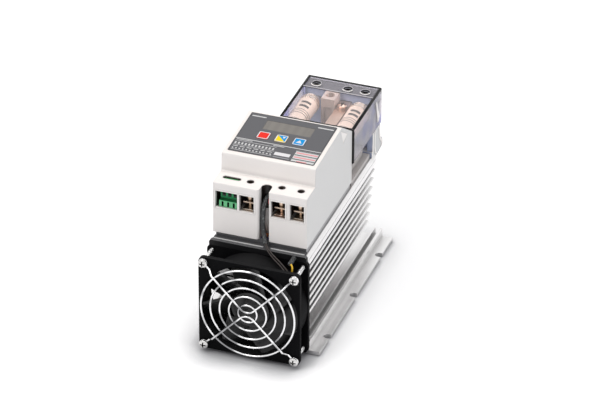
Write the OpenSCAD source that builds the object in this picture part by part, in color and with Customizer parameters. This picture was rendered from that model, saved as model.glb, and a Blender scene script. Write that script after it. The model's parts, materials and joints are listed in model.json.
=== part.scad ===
// Digital power regulator on an extruded heatsink, with fan, housing and covered fuse bay.
// X runs across, Y from the fan to the rear terminals, Z up. Sizes in mm.
// Inner coordinates count Y from the fan's front flange; place() moves them to the part's own origin.

/* [Heatsink] */
// width over the mounting flanges
base_w = 110.6; // [100:0.2:120]
// length of the base
base_len = 196.5; // [180:0.5:240]
// length of the top plate and its fins
plate_len = 179.5; // [160:0.5:200]
// width of the top plate
plate_w = 88.4; // [86:0.2:92]
// height of the mounting face on top
plate_z = 98.8; // [97:0.1:104]
// thickness of the top plate
plate_t = 7.2; // [6:0.1:8]
// number of fins on each side
fin_n = 7; // [5:1:7]
// distance from fin to fin
fin_pitch = 9.2; // [8:0.1:9.4]
// fin thickness
fin_t = 2; // [1.4:0.1:2.6]
// inward step of each fin below the one above
fin_step = 0.9; // [0:0.1:1.2]
// thickness of the centre web
web_w = 14; // [10:0.5:20]
// thickness of the side flanges
flange_t = 3.7; // [3:0.1:4.5]
// height of the screw channel walls
channel_h = 11.8; // [11:0.1:13]
// width of the open mounting notches
notch_w = 6.4; // [5:0.1:7]
// depth of the open mounting notches
notch_d = 5.7; // [5:0.1:7]
// distance from notch to notch
notch_pitch = 69.5; // [60:0.5:72]

/* [Fan] */
// width and height of the fan frame
fan_w = 92; // [90:0.5:94]
// depth of the fan
fan_t = 25; // [24:0.1:26]
// distance between the fan's screw holes
fan_pitch = 82.5; // [81:0.1:84]
// height of the fan's centre
fan_z = 49; // [48.8:0.1:49.2]
// thickness of the fan flanges
fan_flange = 3.8; // [3:0.1:5]
// radius of the air duct
duct_r = 44; // [43:0.1:44.5]
// radius of the impeller
blade_r = 42.9; // [41:0.1:43.2]
// radius of the impeller hub
hub_r = 17; // [15:0.5:19]
// number of blades
blade_n = 7; // [5:1:9]
// radius of the outer guard ring
guard_r = 42.5; // [41:0.1:43]
// radius of the guard wire
wire_r = 0.9; // [0.8:0.05:1.1]

/* [Housing] */
// width of the housing
house_w = 85; // [84:0.2:86]
// wall thickness
wall = 2.2; // [1.8:0.1:2.6]
// height of the housing's lower edge
house_z = 104.9; // [104:0.1:106]
// height of the terminal step
step_z = 154.5; // [152:0.1:157]
// height of the panel's front edge
panel_z = 171.7; // [169:0.1:174]
// rise of the panel towards the rear
panel_rise = 3.4; // [2:0.1:5]
// height of the rear edge
back_z = 156.7; // [156:0.1:157]
// width of the panel label
label_w = 78; // [74:0.5:80]
// width of the key caps
key_w = 10.2; // [9:0.1:11]
// travel of the keys
key_travel = 0.5; // [0.3:0.05:0.6]
// distance from key to key
key_pitch = 16.2; // [15:0.1:18]
// width of the cable slot
slot_w = 9.2; // [8:0.1:10]

/* [Fuse bay] */
// width of the clear cover
cover_w = 67.8; // [67:0.1:68.4]
// thickness of the clear cover
cover_t = 1.8; // [1.4:0.1:1.8]
// height of the cover's top
cover_z = 156.9; // [156.7:0.1:158]
// height of the cover's lower edge
cover_low = 122.5; // [122:0.1:124]
// radius of the fuse bodies
fuse_r = 8.75; // [8:0.05:8.8]
// length of the ceramic bodies
fuse_len = 36; // [34:0.5:37]
// radius of the screwdriver holes in the cover
driver_r = 4.1; // [3.7:0.1:4.4]

/* [Hidden] */
$fn = 48;
eps = 0.01;
arm_y = -5.4;
front_y = arm_y - wire_r * 1.04;
rear_y = 225.8;
mid_y = (front_y + rear_y) / 2;
y0 = fan_t;
base_y = y0 + base_len;
plate_y = y0 + plate_len;
hole = fan_pitch / 2;
scr_up = fan_z + hole;
scr_low = fan_z - hole;
hw = house_w / 2;
front = 27.3;
step_y = 48;
panel_y0 = 48.9;
panel_y1 = 116.5;
back_y = 143.2;
tilt = atan(panel_rise / (panel_y1 - panel_y0));
tag_z = 144.5;
tag_t = 2;
poles = [-12.2, 16.2, 33.4];
rear_poles = [-13.6, 15.6, 31.8];
fuse_x = [-13.6, 31.8];
fuse_z = tag_z + tag_t / 2;
fuse_y0 = 151;
cover_x1 = 43;
cover_x0 = cover_x1 - cover_w;
band_y = 202;
band_z = 146;
slot_x = 3.7;
win_z = [130.5, 146.5];
windows = [[-40.2, -20.4], [-18.7, -5.4], [10, 22.9], [27, 39.9]];
plug_x = -29;
plug_y = 36.6;
washer_z = 136.2;

/* [Output] */
// which piece to draw

module place() translate([0, -mid_y, 0]) children();
module box(x, y, z) translate([x[0], y[0], z[0]]) cube([x[1] - x[0], y[1] - y[0], z[1] - z[0]]);
module along_y(ya, yb) translate([0, yb, 0]) rotate([90, 0, 0]) linear_extrude(yb - ya) children();
module along_x(xa, xb) translate([xa, 0, 0]) rotate([90, 0, 90]) linear_extrude(xb - xa) children();
module rod_y(x, z, ya, yb, r) translate([x, ya, z]) rotate([-90, 0, 0]) cylinder(r = r, h = yb - ya);
module rod_z(x, y, za, zb, r) translate([x, y, za]) cylinder(r = r, h = zb - za);
module both() for (m = [0, 1]) mirror([m, 0, 0]) children();
module on_panel() translate([0, panel_y0, panel_z]) rotate([tilt, 0, 0]) children();

// straight wires from point to point, with slightly larger round joints from point number first on
module route(pts, r, joint = 1.04, first = 0, sides = 16) {
    for (i = [0:len(pts) - 2]) let(d = pts[i + 1] - pts[i], l = norm(d))
        translate(pts[i]) rotate([0, acos(d[2] / l), atan2(d[1], d[0])]) cylinder(r = r, h = l, $fn = sides);
    for (i = [first:len(pts) - 1]) translate(pts[i]) sphere(r * joint, $fn = sides);
}

// corner points with arcs of radius r[i]
function arc_pts(p, a, b, r) = let(
    u = (a - p) / norm(a - p), v = (b - p) / norm(b - p),
    h = acos(u * v) / 2, t = r / tan(h), c = p + (u + v) / norm(u + v) * r / sin(h),
    s = p + u * t - c, e = p + v * t - c,
    g = atan2(s[0] * e[1] - s[1] * e[0], s * e))
    [for (k = [0:5]) c + [s[0] * cos(g * k / 5) - s[1] * sin(g * k / 5),
                          s[0] * sin(g * k / 5) + s[1] * cos(g * k / 5)]];
function rounded(p, r) = [for (i = [0:len(p) - 1])
    each (r[i] > 0 ? arc_pts(p[i], p[(i + len(p) - 1) % len(p)], p[(i + 1) % len(p)], r[i]) : [p[i]])];
module pad(w, d, r) {
    square([w - 2 * r, d], center = true);
    square([w, d - 2 * r], center = true);
    for (x = [-1, 1], y = [-1, 1]) translate([x * (w / 2 - r), y * (d / 2 - r)]) circle(r);
}

// pan head with cross recess, shank along -Z, head on Z = 0
module cross_screw(head_r, head_h, shank_r, len) {
    difference() {
        intersection() {
            cylinder(r = head_r, h = head_h);
            translate([0, 0, head_h - head_r * 1.5]) sphere(head_r * 1.5);
        }
        for (a = [0, 90]) rotate([0, 0, a])
            translate([-head_r * 0.55, -head_r * 0.13, head_h * 0.45])
                cube([head_r * 1.1, head_r * 0.26, head_h]);
    }
    translate([0, 0, -len]) cylinder(r = shank_r, h = len + eps);
}

module sink_base() {
    translate([-45.7, 0]) square([91.4, 4.5]);
    translate([-base_w / 2, 0]) square([base_w, flange_t]);
    translate([-web_w / 2, 0]) square([web_w, channel_h]);
    both() difference() {
        translate([37.6, 0]) square([8.1, channel_h]);
        translate([hole - 2.1, scr_low - 2.1]) square([4.2, 10]);
    }
}
module sink_top() {
    translate([-web_w / 2, channel_h - 1]) square([web_w, plate_z - plate_t - channel_h + 2]);
    for (s = [-1, 1]) for (i = [1:fin_n]) let(tip = plate_w / 2 + 0.5 - fin_step * i,
        z = plate_z - 7 - fin_pitch * i) {
        translate([s > 0 ? web_w / 2 - 1 : -tip + 1.3, z - fin_t / 2])
            square([tip - 0.3 - web_w / 2, fin_t]);
        translate([s * (tip - 1.3), z]) circle(1.3, $fn = 20);
    }
    difference() {
        union() {
            translate([-plate_w / 2, plate_z - plate_t]) square([plate_w, plate_t - 2.5]);
            polygon([[-plate_w / 2, plate_z - 2.5], [plate_w / 2, plate_z - 2.5],
                [plate_w / 2 - 1.7, plate_z], [-plate_w / 2 + 1.7, plate_z]]);
            intersection() {
                both() translate([hole, scr_up]) circle(3.4);
                translate([-plate_w / 2, scr_up - 5]) square([plate_w, 10]);
            }
        }
        both() {
            translate([hole, scr_up]) circle(2.05);
            translate([hole - 0.8, scr_up - 5]) square([1.6, 4]);
            translate([plate_w / 2 - 0.5, plate_z - 5.2]) square([1, 0.6]);
        }
    }
}
module heatsink() color([0.74, 0.75, 0.77]) place() difference() {
    union() {
        along_y(y0, base_y) sink_base();
        along_y(y0, plate_y) sink_top();
    }
    for (s = [-1, 1], i = [0:2]) translate([s * base_w / 2, y0 + 26.2 + notch_pitch * i, -1]) {
        translate([-s * (notch_d - notch_w / 2), 0, 0]) cylinder(r = notch_w / 2, h = flange_t + 2);
        translate([s > 0 ? -notch_d + notch_w / 2 : -1, -notch_w / 2, 0])
            cube([notch_d - notch_w / 2 + 1, notch_w, flange_t + 2]);
    }
    for (x = [-36.5, 36.5], y = [42, 137]) rod_z(x, y, plate_z - 5, plate_z + 1, 1.3);
    for (x = [-19, 23], y = [55, 127]) rod_z(x, y, plate_z - 5, plate_z + 1, 2);
    for (x = [-9, 27]) rod_z(x, 200.6, plate_z - 5, plate_z + 1, 1.7);
}

module carrier_plate() color([0.16, 0.17, 0.22]) place() difference() {
    union() {
        box([-41, 41], [30.3, 143], [plate_z, house_z]);
        difference() {
            box([-40, 40], [34, 140.7], [house_z - eps, house_z + 3]);
            box([-38.4, 38.4], [35.6, 139.1], [house_z - 1, house_z + 4]);
            box([-4, 11.4], [33, 43], [house_z, house_z + 4]);
        }
    }
    box([-34, -4], [50, 132], [plate_z - 1, house_z + 1]);
    box([8, 38.2], [50, 132], [plate_z - 1, house_z + 1]);
    rod_z(-25, 40, plate_z - 1, house_z + 4, 8);
    for (x = [-36.5, 36.5], y = [42, 137]) {
        rod_z(x, y, plate_z - 1, house_z + 4, 1.4);
        rod_z(x, y, plate_z + 3, house_z + 4, 2.9);
    }
}
module carrier_screws() color([0.7, 0.7, 0.72]) place()
    for (x = [-36.5, 36.5], y = [42, 137]) translate([x, y, plate_z + 3]) cross_screw(2.7, 1.9, 1.25, 7.5);

module air_baffle() color([0.05, 0.05, 0.06]) place() {
    along_y(21.2, y0) polygon(rounded([[-44.2, 95.1], [44.2, 95.1], [44.2, plate_z + 1.2],
        [-44.2, plate_z + 1.2]], [0, 0, 2.4, 2.4]));
    box([-41.8, 41.8], [y0 - eps, 30.2], [plate_z, plate_z + 1.2]);
}

module house_2d() polygon(rounded([[front, house_z], [front, step_z], [step_y, step_z], [panel_y0, panel_z],
    [panel_y1, panel_z + panel_rise], [back_y, back_z], [back_y, house_z]], [0, 1, 1.2, 1.4, 2, 1.4, 0]));
module house_in() polygon([[front + wall, house_z - 1], [front + wall, step_z - wall],
    [step_y + wall, step_z - wall], [panel_y0 + wall, panel_z - wall],
    [panel_y1 - 0.8, panel_z + panel_rise - wall], [back_y - wall, back_z - wall + 0.6],
    [back_y - wall, house_z - 1]]);
module housing_shell() color([0.93, 0.91, 0.89]) place() difference() {
    union() {
        difference() {
            along_x(-hw, hw) house_2d();
            along_x(-hw + wall, hw - wall) house_in();
        }
        box([-hw + 1, hw - 1], [front + 1, step_y + 0.3], [126.3, step_z - 1]);
        along_z_slot(slot_w / 2 + 1.6, house_z, step_z - 1);
        both() for (z = [136.4, 140.1]) box([38.4, 40.8], [50.4, 126], [z, z + 1.6]);
        on_panel() for (x = [-32, 32], y = [13, 56]) translate([x, y, -7.4]) cylinder(r = 3, h = 6);
    }
    for (w = windows) box(w, [front - 1, front + 4], win_z);
    for (w = windows) let(side = w[1] < -20 ? 0 : 0.4)
        box([w[0] - side, w[1] + side], [front + 1.8, 46], [128.8, 151]);
    for (x = poles) box([x - 5, x + 5], [45, step_y + 3], [128.7, 131.4]);
    for (x = poles) rod_z(x, 38, 150, step_z + 1, 3.3);
    for (s = [-6, 6]) rod_z(plug_x + s, 38, 150, step_z + 1, 2.4);
    box([plug_x - 6, plug_x + 6], [35.6, 40.4], [150, step_z + 1]);
    along_z_slot(slot_w / 2, house_z - 1, step_z + 1);
    difference() {
        box([slot_x - slot_w / 2 - 3, slot_x - slot_w / 2 + eps], [front - 1, front + 3],
            [house_z - 1, step_z + 1]);
        rod_z(slot_x - slot_w / 2 - 3, front + 3, house_z - 2, step_z + 2, 3);
    }
    box([0.5, 7], [38, step_y + 3], [136, 149]);
    on_panel() {
        translate([0, 51, -4]) linear_extrude(8) square([43.6, 14], center = true);
        for (i = [-1, 0, 1]) translate([-0.8 + key_pitch * i, 34.6, -3]) linear_extrude(6)
            pad(key_w + 0.6, key_w + 0.6, 1.4);
        for (x = [-32, 32], y = [13, 56]) translate([x, y, -8]) cylinder(r = 1.1, h = 5);
    }
    for (x = [-13.6, 16.2, 31.8])
        box([x - 6, x + 6], [back_y - 4, back_y + 1], [tag_z - 2.6, tag_z + tag_t + 0.8]);
    both() translate([hw, 0, 0]) along_x(-0.5, 1) polygon([[113.9, 172.7], [131.1, 161], [120.2, 157.1]]);
}
module along_z_slot(r, za, zb) {
    rod_z(slot_x, 34.7, za, zb, r);
    box([slot_x - r, slot_x + r], [r < slot_w / 2 + 1 ? front - 1 : front + 0.5, 34.7], [za, zb]);
}

module label_overlay() color([0.33, 0.33, 0.35]) place() on_panel() difference() {
    translate([0, 35.3, 0]) linear_extrude(0.35) pad(label_w, 61, 1);
    translate([0, 51, -1]) linear_extrude(2) square([43.6, 14], center = true);
    for (i = [-1, 0, 1]) translate([-0.8 + key_pitch * i, 34.6, -1]) linear_extrude(2)
        pad(key_w + 0.6, key_w + 0.6, 1.4);
}
module display_window() color([0.5, 0.5, 0.47, 0.8]) place() on_panel()
    translate([0, 51, -1.2]) linear_extrude(1.4) square([43.6, 14], center = true);
module display_module() color([0.2, 0.2, 0.2]) place() on_panel()
    translate([-20.5, 44.7, -7.4]) cube([41, 12.6, 6.2]);
module panel_board() color([0.1, 0.35, 0.2]) place() on_panel() difference() {
    translate([-36, 8, -9]) cube([72, 53, 1.6]);
    for (x = [-32, 32], y = [13, 56]) translate([x, y, -10]) cylinder(r = 1.3, h = 4);
}
module board_screws() color([0.7, 0.7, 0.72]) place() on_panel() for (x = [-32, 32], y = [13, 56])
    translate([x, y, -9]) rotate([180, 0, 0]) cross_screw(2.3, 1.6, 1.05, 5);
module key_switches() color([0.1, 0.1, 0.1]) place() on_panel() for (i = [-1, 0, 1])
    translate([-0.8 + key_pitch * i, 34.6, -7.4]) {
        linear_extrude(2.4) square(6, center = true);
        cylinder(r = 1.7, h = 4.05 - key_travel);
    }
module key_cap(i) place() on_panel() translate([-0.8 + key_pitch * i, 34.6, 0]) {
    translate([0, 0, -2.6]) linear_extrude(3.2) pad(key_w, key_w, 1.2);
    translate([0, 0, -3]) linear_extrude(0.5) pad(key_w + 2.4, key_w + 2.4, 1);
}
module key_red() color([0.85, 0.12, 0.1]) key_cap(-1);
module key_split() color([0.95, 0.85, 0.1]) key_cap(0);
module key_blue() color([0.1, 0.45, 0.8]) key_cap(1);

module power_board() color([0.1, 0.35, 0.2]) place() box([-40, 40], [50.6, 124], [138, 140.1]);
module power_parts() color([0.25, 0.25, 0.27]) place() {
    box([-30, -8], [60, 82], [140.1, 156]);
    box([-30, -12], [90, 104], [140.1, 154]);
    box([4, 26], [58, 68], [140.1, 150]);
    rod_z(8, 88, 140.1, 153, 5);
    rod_z(24, 92, 140.1, 155, 6.3);
    box([2, 30], [108, 118], [140.1, 146]);
}

// semiconductor modules: moulded body on a copper base
module scr_body(x, t) place() difference() {
    union() {
        box([x - 14, x + 14], [61, 121], [101.6, 126.4]);
        for (y = [70, 112]) box([t - 4.5, t + 4.5], [y - 5, y + 5], [126.4 - eps, 128.8]);
    }
    for (y = [70, 112]) rod_z(t, y, 118, 130, 2);
}
module scr_left() color([0.13, 0.13, 0.14]) scr_body(-19, -12.2);
module scr_right() color([0.13, 0.13, 0.14]) scr_body(23, 32);
module scr_bases() color([0.72, 0.5, 0.36]) place() for (x = [-19, 23]) difference() {
    box([x - 14, x + 14], [51, 131], [plate_z, 101.6]);
    for (y = [55, 127]) rod_z(x, y, plate_z - 1, 103, 2.2);
}
module scr_screws() color([0.7, 0.7, 0.72]) place() {
    for (x = [-19, 23], y = [55, 127]) translate([x, y, 101.6]) cross_screw(3.8, 2.4, 1.95, 7.5);
    for (x = [-12.2, 32]) {
        translate([x, 70, 131.3]) cross_screw(3.6, 2.4, 1.95, 12);
        translate([x, 112, 130.8]) cross_screw(3.6, 2.4, 1.95, 12);
    }
}
module line_bars() color([0.78, 0.74, 0.66]) place() for (k = [0, 2]) difference() {
    let(x = poles[k]) union() {
        box([x - 4.5, x + 4.5], [31, 75], [128.8, 131.3]);
        if (k == 2) box([27.5, 36.5], [65, 75], [128.8, 131.3]);
    }
    rod_z(poles[k], 38, 127, 133, 2);
    rod_z(k == 0 ? -12.2 : 32, 70, 127, 133, 2);
}
module load_bars() color([0.72, 0.5, 0.36]) place()
    for (k = [0, 1]) let(x = fuse_x[k], t = k == 0 ? -12.2 : 32) difference() {
        union() {
            box([x - 4.5, x + 4.5], [107, 130], [128.8, 130.8]);
            box([x - 4.5, x + 4.5], [128, 130], [128.8, tag_z]);
            box([x - 4.5, x + 4.5], [128, 140], [tag_z - 2, tag_z]);
        }
        rod_z(t, 112, 127, 133, 2);
        rod_z(x, 135.6, tag_z - 3, tag_z + 1, 2);
    }
module tag_bolts() color([0.75, 0.75, 0.77]) place() for (x = fuse_x) {
    translate([x, 135.6, tag_z + tag_t]) cross_screw(3.6, 2.4, 1.95, 9);
    difference() {
        translate([x, 135.6, tag_z - 5]) linear_extrude(3) circle(4, $fn = 6);
        rod_z(x, 135.6, tag_z - 6, tag_z - 1, 1.95);
    }
}

module header_pins() for (x = [-5.08, 0, 5.08]) rod_y(plug_x + x, 136, 40.6, 45, 0.6);
module green_header() color([0.05, 0.4, 0.2]) place() {
    difference() {
        box([plug_x - 8.4, plug_x + 8.4], [39.6, 46], [131.2, 145.4]);
        box([plug_x - 7.6, plug_x + 7.6], [39, 44.6], [132.6, 139.8]);
    }
    header_pins();
}
module green_plug() color([0.1, 0.6, 0.3]) place() difference() {
    union() {
        box([plug_x - 8.2, plug_x + 8.2], [28.2, 39.2], [131, 137.2]);
        box([plug_x - 8.2, plug_x + 8.2], [32.4, 39.2], [137.2 - eps, 146.2]);
        box([plug_x - 7.3, plug_x + 7.3], [39.2 - eps, 44.2], [132.9, 139.5]);
    }
    for (x = [-5.08, 0, 5.08]) translate([plug_x + x, 0, 0]) {
        box([-0.9, 0.9], [27, 37], [131.4, 136.2]);
        rod_y(0, 136, 36, 46, 0.95);
        box([-1.6, 1.6], [31, plug_y + 1.8], [141.2, 147]);
        rod_z(0, plug_y, 136.5, 142, 1.25);
    }
}
module plug_screws() color([0.8, 0.8, 0.82]) place() for (x = [-5.08, 0, 5.08]) difference() {
    union() {
        rod_z(plug_x + x, plug_y, 141.2, 142.6, 1.5);
        rod_z(plug_x + x, plug_y, 137.4, 141.3, 1.2);
    }
    box([plug_x + x - 2, plug_x + x + 2], [plug_y - 0.3, plug_y + 0.3], [142, 143]);
}

module clamp_washers() color([0.8, 0.75, 0.62]) place() for (x = poles) difference() {
    box([x - 5, x + 5], [33, 43], [washer_z, washer_z + 1.3]);
    rod_z(x, 38, washer_z - 1, washer_z + 2, 2.05);
}
module clamp_screws() color([0.85, 0.8, 0.7]) place() for (x = poles)
    translate([x, 38, washer_z + 1.3]) {
        translate([0, 0, -8.5]) cylinder(r = 1.95, h = 8.6);
        cylinder(r = 3, h = 2.6);
        translate([0, 0, 2.5]) cross_screw(3.7, 2.8, 1.9, 1);
    }
module heat_cutout() color([0.75, 0.75, 0.76]) place() {
    rod_z(-25, 40, plate_z, plate_z + 1.2, 7);
    rod_z(-25, 40, plate_z + 1.1, plate_z + 7.4, 5.6);
    for (x = [-3, 3]) box([-25 + x - 0.4, -25 + x + 0.4], [38, 42], [plate_z + 7.3, plate_z + 14]);
}
module slot_contact() color([0.8, 0.45, 0.25]) place() {
    box([slot_x - 4.2, slot_x - 2.6], [33.2, 36], [house_z, house_z + 7]);
    box([slot_x + 2.6, slot_x + 4.2], [33.2, 36], [house_z, house_z + 9]);
    box([slot_x - 4.2, slot_x + 4.2], [34.4, 36], [house_z, house_z + 2.5]);
}

module fan_frame() color([0.05, 0.05, 0.06]) place() difference() {
    union() {
        for (y = [0, fan_t - fan_flange]) translate([0, 0, fan_z])
            along_y(y, y + fan_flange) pad(fan_w, fan_w, 4.6);
        rod_y(0, fan_z, 0, fan_t, 45.6);
    }
    difference() {
        rod_y(0, fan_z, -1, fan_t + 1, duct_r);
        rod_y(0, fan_z, 21.4, fan_t, 19.5);
        for (a = [45:90:315]) translate([0, 0, fan_z]) rotate([0, a, 0])
            box([10, duct_r + 1], [21.4, 24.6], [-1.6, 1.6]);
    }
    rod_y(0, fan_z, 20, fan_t + 1, 4.05);
    for (s = [-1, 1], t = [-1, 1]) rod_y(s * hole, fan_z + t * hole, -1, fan_t + 1, 2.15);
}
module fan_bearing() color([0.72, 0.6, 0.35]) place() difference() {
    rod_y(0, fan_z, 8.5, fan_t - 0.4, 4.05);
    rod_y(0, fan_z, 8, fan_t, 1.55);
}
module fan_stator() color([0.6, 0.35, 0.2]) place() difference() {
    union() {
        rod_y(0, fan_z, 10, 21.4, 7);
        for (a = [0:60:300]) translate([0, 0, fan_z]) rotate([0, a, 0]) box([5, 12.6], [10.5, 19], [-2, 2]);
    }
    rod_y(0, fan_z, 9, 22, 4.05);
}
module fan_rotor() color([0.08, 0.08, 0.09]) place() difference() {
    union() {
        rod_y(0, fan_z, 2.4, 20.8, hub_r);
        for (i = [0:blade_n - 1]) translate([0, 0, fan_z]) rotate([0, 360 * i / blade_n, 0]) intersection() {
            translate([0, 11.6, 0]) rotate([60, 0, 0]) box([hub_r - 3, 50], [-20, 20], [-0.8, 0.8]);
            difference() {
                rod_y(0, 0, 2, 20.6, blade_r);
                rod_y(0, 0, 1, 22, hub_r - 1);
            }
        }
    }
    rod_y(0, fan_z, 4.6, 22, hub_r - 1.6);
    rod_y(0, fan_z, 3.4, 6, 1.5);
}
module fan_shaft() color([0.75, 0.75, 0.77]) place() union() {
    rod_y(0, fan_z, 3.4, fan_t - 1, 1.5);
    rod_y(0, fan_z, 4.6, 7.4, 3.2);
}

module guard_arm(s, t) {
    a = [s * 5.66, arm_y, fan_z + t * 4.4];
    b = [s * 32, arm_y, fan_z + t * 32];
    c = [s * 35.6, -0.95, fan_z + t * 35.6];
    d = [s * (hole - 2.2), -0.95, fan_z + t * (hole - 2.2)];
    route([a, b, c, d], wire_r);
    translate([s * hole, -0.95, fan_z + t * hole]) rotate([90, 0, 0])
        rotate_extrude() translate([3.2, 0]) circle(wire_r, $fn = 20);
}
module finger_guard() color([0.85, 0.86, 0.88]) place() {
    for (i = [1:5]) translate([0, -3.8, fan_z]) rotate([90, 0, 0])
        rotate_extrude() translate([guard_r * i / 5, 0]) circle(wire_r, $fn = 16);
    for (s = [-1, 1], t = [-1, 1]) guard_arm(s, t);
    for (t = [-1, 1]) translate([0, arm_y, fan_z + t * 10.06]) rotate([90, 0, 0])
        rotate([0, 0, t > 0 ? 225 : 45]) rotate_extrude(angle = 90) translate([8, 0]) circle(wire_r, $fn = 20);
}
module fan_screws() color([0.85, 0.86, 0.88]) place() for (s = [-1, 1], t = [-1, 1])
    translate([s * hole, -1.85, fan_z + t * hole]) rotate([90, 0, 0]) cross_screw(4.1, 2.8, 1.95, 40);

lead_pts = [[4, 54, 142.4], [3.8, 44, 143], [3.6, 38, 143.4], [2.9, 32.4, 140], [2, 31, 128.4],
    [1.9, 31, 118.4], [3.6, 29.6, 110], [5.2, 27.2, 105.6]];
thin_pts = [[5.2, 27.2, 105.6], [9.3, 20.4, 102.6], [13.6, 18.4, 98.6], [19.2, 16.4, 95.6],
    [26.1, 13.2, 92.4], [31.2, 9.4, 89.4], [34.6, 9.8, 86], [33.2, 10.5, 82.2]];
module fan_lead() color([0.18, 0.18, 0.2]) place() {
    route(lead_pts, 2.2);
    route(thin_pts, 1.25);
}
module fan_wires() color([0.9, 0.7, 0.1]) place() {
    route([[6.2, 54, 146.4], [6.2, 46, 147], [6.2, 37, 146.6], [6.3, 33.6, 143], [6.5, 32.6, 139.4]],
        0.7, 1.12, 1, 24);
    route([[34.8, 8.7, 99.2], [36.4, 7.4, 98.4], [36.9, 6.6, 95.6], [36.2, 6.2, 91.6], [34.4, 5.9, 87],
        [32.9, 5.8, 82.6]], 0.7, 1.12, 1, 24);
}
module lead_grommet() color([0.06, 0.06, 0.07]) place() {
    rod_y(33.2, 98, 11, 21.2, 2);
    translate([33.2, 11, 98]) sphere(2);
}

module fuse_base() color([0.85, 0.78, 0.72]) place() difference() {
    union() {
        box([-22.6, 41], [147, 196.6], [plate_z, 102.8]);
        box([11, 21.4], [186.4, 196.4], [102.7, tag_z]);
        for (x = fuse_x) box([x - 4, x + 4], [158, 192], [102.7, 108]);
    }
    rod_z(17, 191.4, 130, 150, 1.95);
}
module centre_post() color([0.88, 0.8, 0.74]) place() difference() {
    union() {
        box([-2, 10.4], [188.6, 196.7], [102.8, 123.2]);
        box([-2, 10.4], [188.6, 204.2], [123.1, 154.8]);
    }
    rod_z(4.2, 196.4, 148.5, 156, 4);
    box([0.6, 7.8], [187, 190.2], [108, 146]);
}
module ceramic(x) place() difference() {
    rod_y(x, fuse_z, fuse_y0, fuse_y0 + fuse_len, fuse_r);
    rod_y(x, fuse_z, fuse_y0 - 1, fuse_y0 + fuse_len + 1, 5);
}
module fuse_left() color([0.87, 0.75, 0.7]) ceramic(fuse_x[0]);
module fuse_right() color([0.87, 0.75, 0.7]) ceramic(fuse_x[1]);
module fuse_caps(x) place() difference() {
    union() {
        rod_y(x, fuse_z, fuse_y0 - 4, fuse_y0, 9);
        rod_y(x, fuse_z, fuse_y0 + fuse_len, fuse_y0 + fuse_len + 5, 9);
        rod_y(x, fuse_z, fuse_y0 + fuse_len + 4.9, fuse_y0 + fuse_len + 9, 7.6);
        box([x - 5.5, x + 5.5], [131, fuse_y0 - 3], [tag_z, tag_z + tag_t]);
        box([x - 5.5, x + 5.5], [fuse_y0 + fuse_len + 8, 214], [tag_z, tag_z + tag_t]);
    }
    rod_z(x, 135.6, tag_z - 1, tag_z + 4, 2.1);
    rod_z(x, 210, tag_z - 1, tag_z + 4, 2.1);
}
module fuse_caps_left() color([0.8, 0.78, 0.75]) fuse_caps(fuse_x[0]);
module fuse_caps_right() color([0.8, 0.78, 0.75]) fuse_caps(fuse_x[1]);
module link_bar() color([0.75, 0.55, 0.42]) place() difference() {
    union() {
        box([11.7, 20.7], [31, 134], [128.8, 131.3]);
        box([11.7, 20.7], [132, 134], [128.8, tag_z + tag_t]);
        box([11, 21.2], [132, 214], [tag_z, tag_z + tag_t]);
    }
    rod_z(poles[1], 38, 127, 133, 2);
    rod_z(17, 191.4, tag_z - 1, tag_z + 3, 2.1);
    rod_z(rear_poles[1], 210, tag_z - 1, tag_z + 3, 2.1);
}
module link_washers() color([0.85, 0.72, 0.6]) place() difference() {
    union() {
        rod_z(17, 191.4, tag_z + tag_t, tag_z + tag_t + 1, 4.9);
        rod_z(17, 191.4, tag_z + tag_t + 0.9, tag_z + tag_t + 2, 4);
    }
    rod_z(17, 191.4, tag_z, tag_z + 6, 2.1);
}
module link_screw() color([0.8, 0.62, 0.5]) place()
    translate([17, 191.4, tag_z + tag_t + 2]) cross_screw(4.3, 3, 1.9, 16);

module block_2d(z1) polygon(rounded([[204.4, plate_z], [204.4, z1], [219.5, z1], [219.5, 107], [225.8, 104.6],
    [225.8, 96.4], [214.6, 94.6], [204.7, 94.6], [204.7, plate_z]], [0, 0.4, 0.8, 0, 0.8, 0.8, 0, 0, 0]));
module rear_block() color([0.86, 0.86, 0.87]) place() difference() {
    union() {
        along_x(-24.6, 42.8) difference() {
            block_2d(154.8);
            translate([200, 122.2]) square([30, 40]);
        }
        along_x(-22.6, 40.8) block_2d(154.8);
        box([-24.6, 42.8], [196.8, 204.5], [plate_z, 104]);
        for (x = [[-24.6, -19.5], [37.9, 42.8]]) box(x, [198.4, 204.5], [103.9, 122.2]);
    }
    for (x = rear_poles) {
        box([x - 5.9, x + 5.9], [206, 220], [131, 150.5]);
        box([x - 5.9, x + 5.9], [204, 207], [tag_z - 0.3, tag_z + tag_t + 0.3]);
        rod_z(x, 210, 150, 156, driver_r);
    }
    box([-20, 39], [207, 217], [94, 118]);
    for (x = [-9, 27]) rod_z(x, 200.6, plate_z - 1, 105, 2.2);
}
module rear_cages() color([0.78, 0.7, 0.5]) place() for (x = rear_poles) difference() {
    box([x - 5.2, x + 5.2], [206.2, 216.4], [131, tag_z]);
    rod_y(x, 136.4, 205, 220, 3);
    rod_z(x, 210, 136, tag_z + 1, 1.95);
}
module rear_screws() color([0.82, 0.82, 0.84]) place() for (x = rear_poles)
    translate([x, 210, tag_z + tag_t]) cross_screw(3.7, 3, 1.9, 6.4);
module block_screws() color([0.75, 0.75, 0.77]) place() for (x = [-9, 27])
    translate([x, 200.6, 104]) cross_screw(3.4, 2.4, 1.65, 10);

module clear_cover() color([0.75, 0.75, 0.85, 0.4]) place() difference() {
    union() {
        box([cover_x0, cover_x1], [144.7, band_y], [cover_low, cover_z]);
        box([cover_x0, cover_x1], [band_y - eps, 221.6], [cover_low, band_z]);
    }
    box([cover_x0 + cover_t, cover_x1 - cover_t], [144.7 + cover_t, 223], [cover_low - 1, cover_z - cover_t]);
    for (x = [-13.6, 16.2, 31.8]) box([x - 6.2, x + 6.2], [144, 147], [cover_low - 1, tag_z + tag_t + 0.8]);
}
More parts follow.
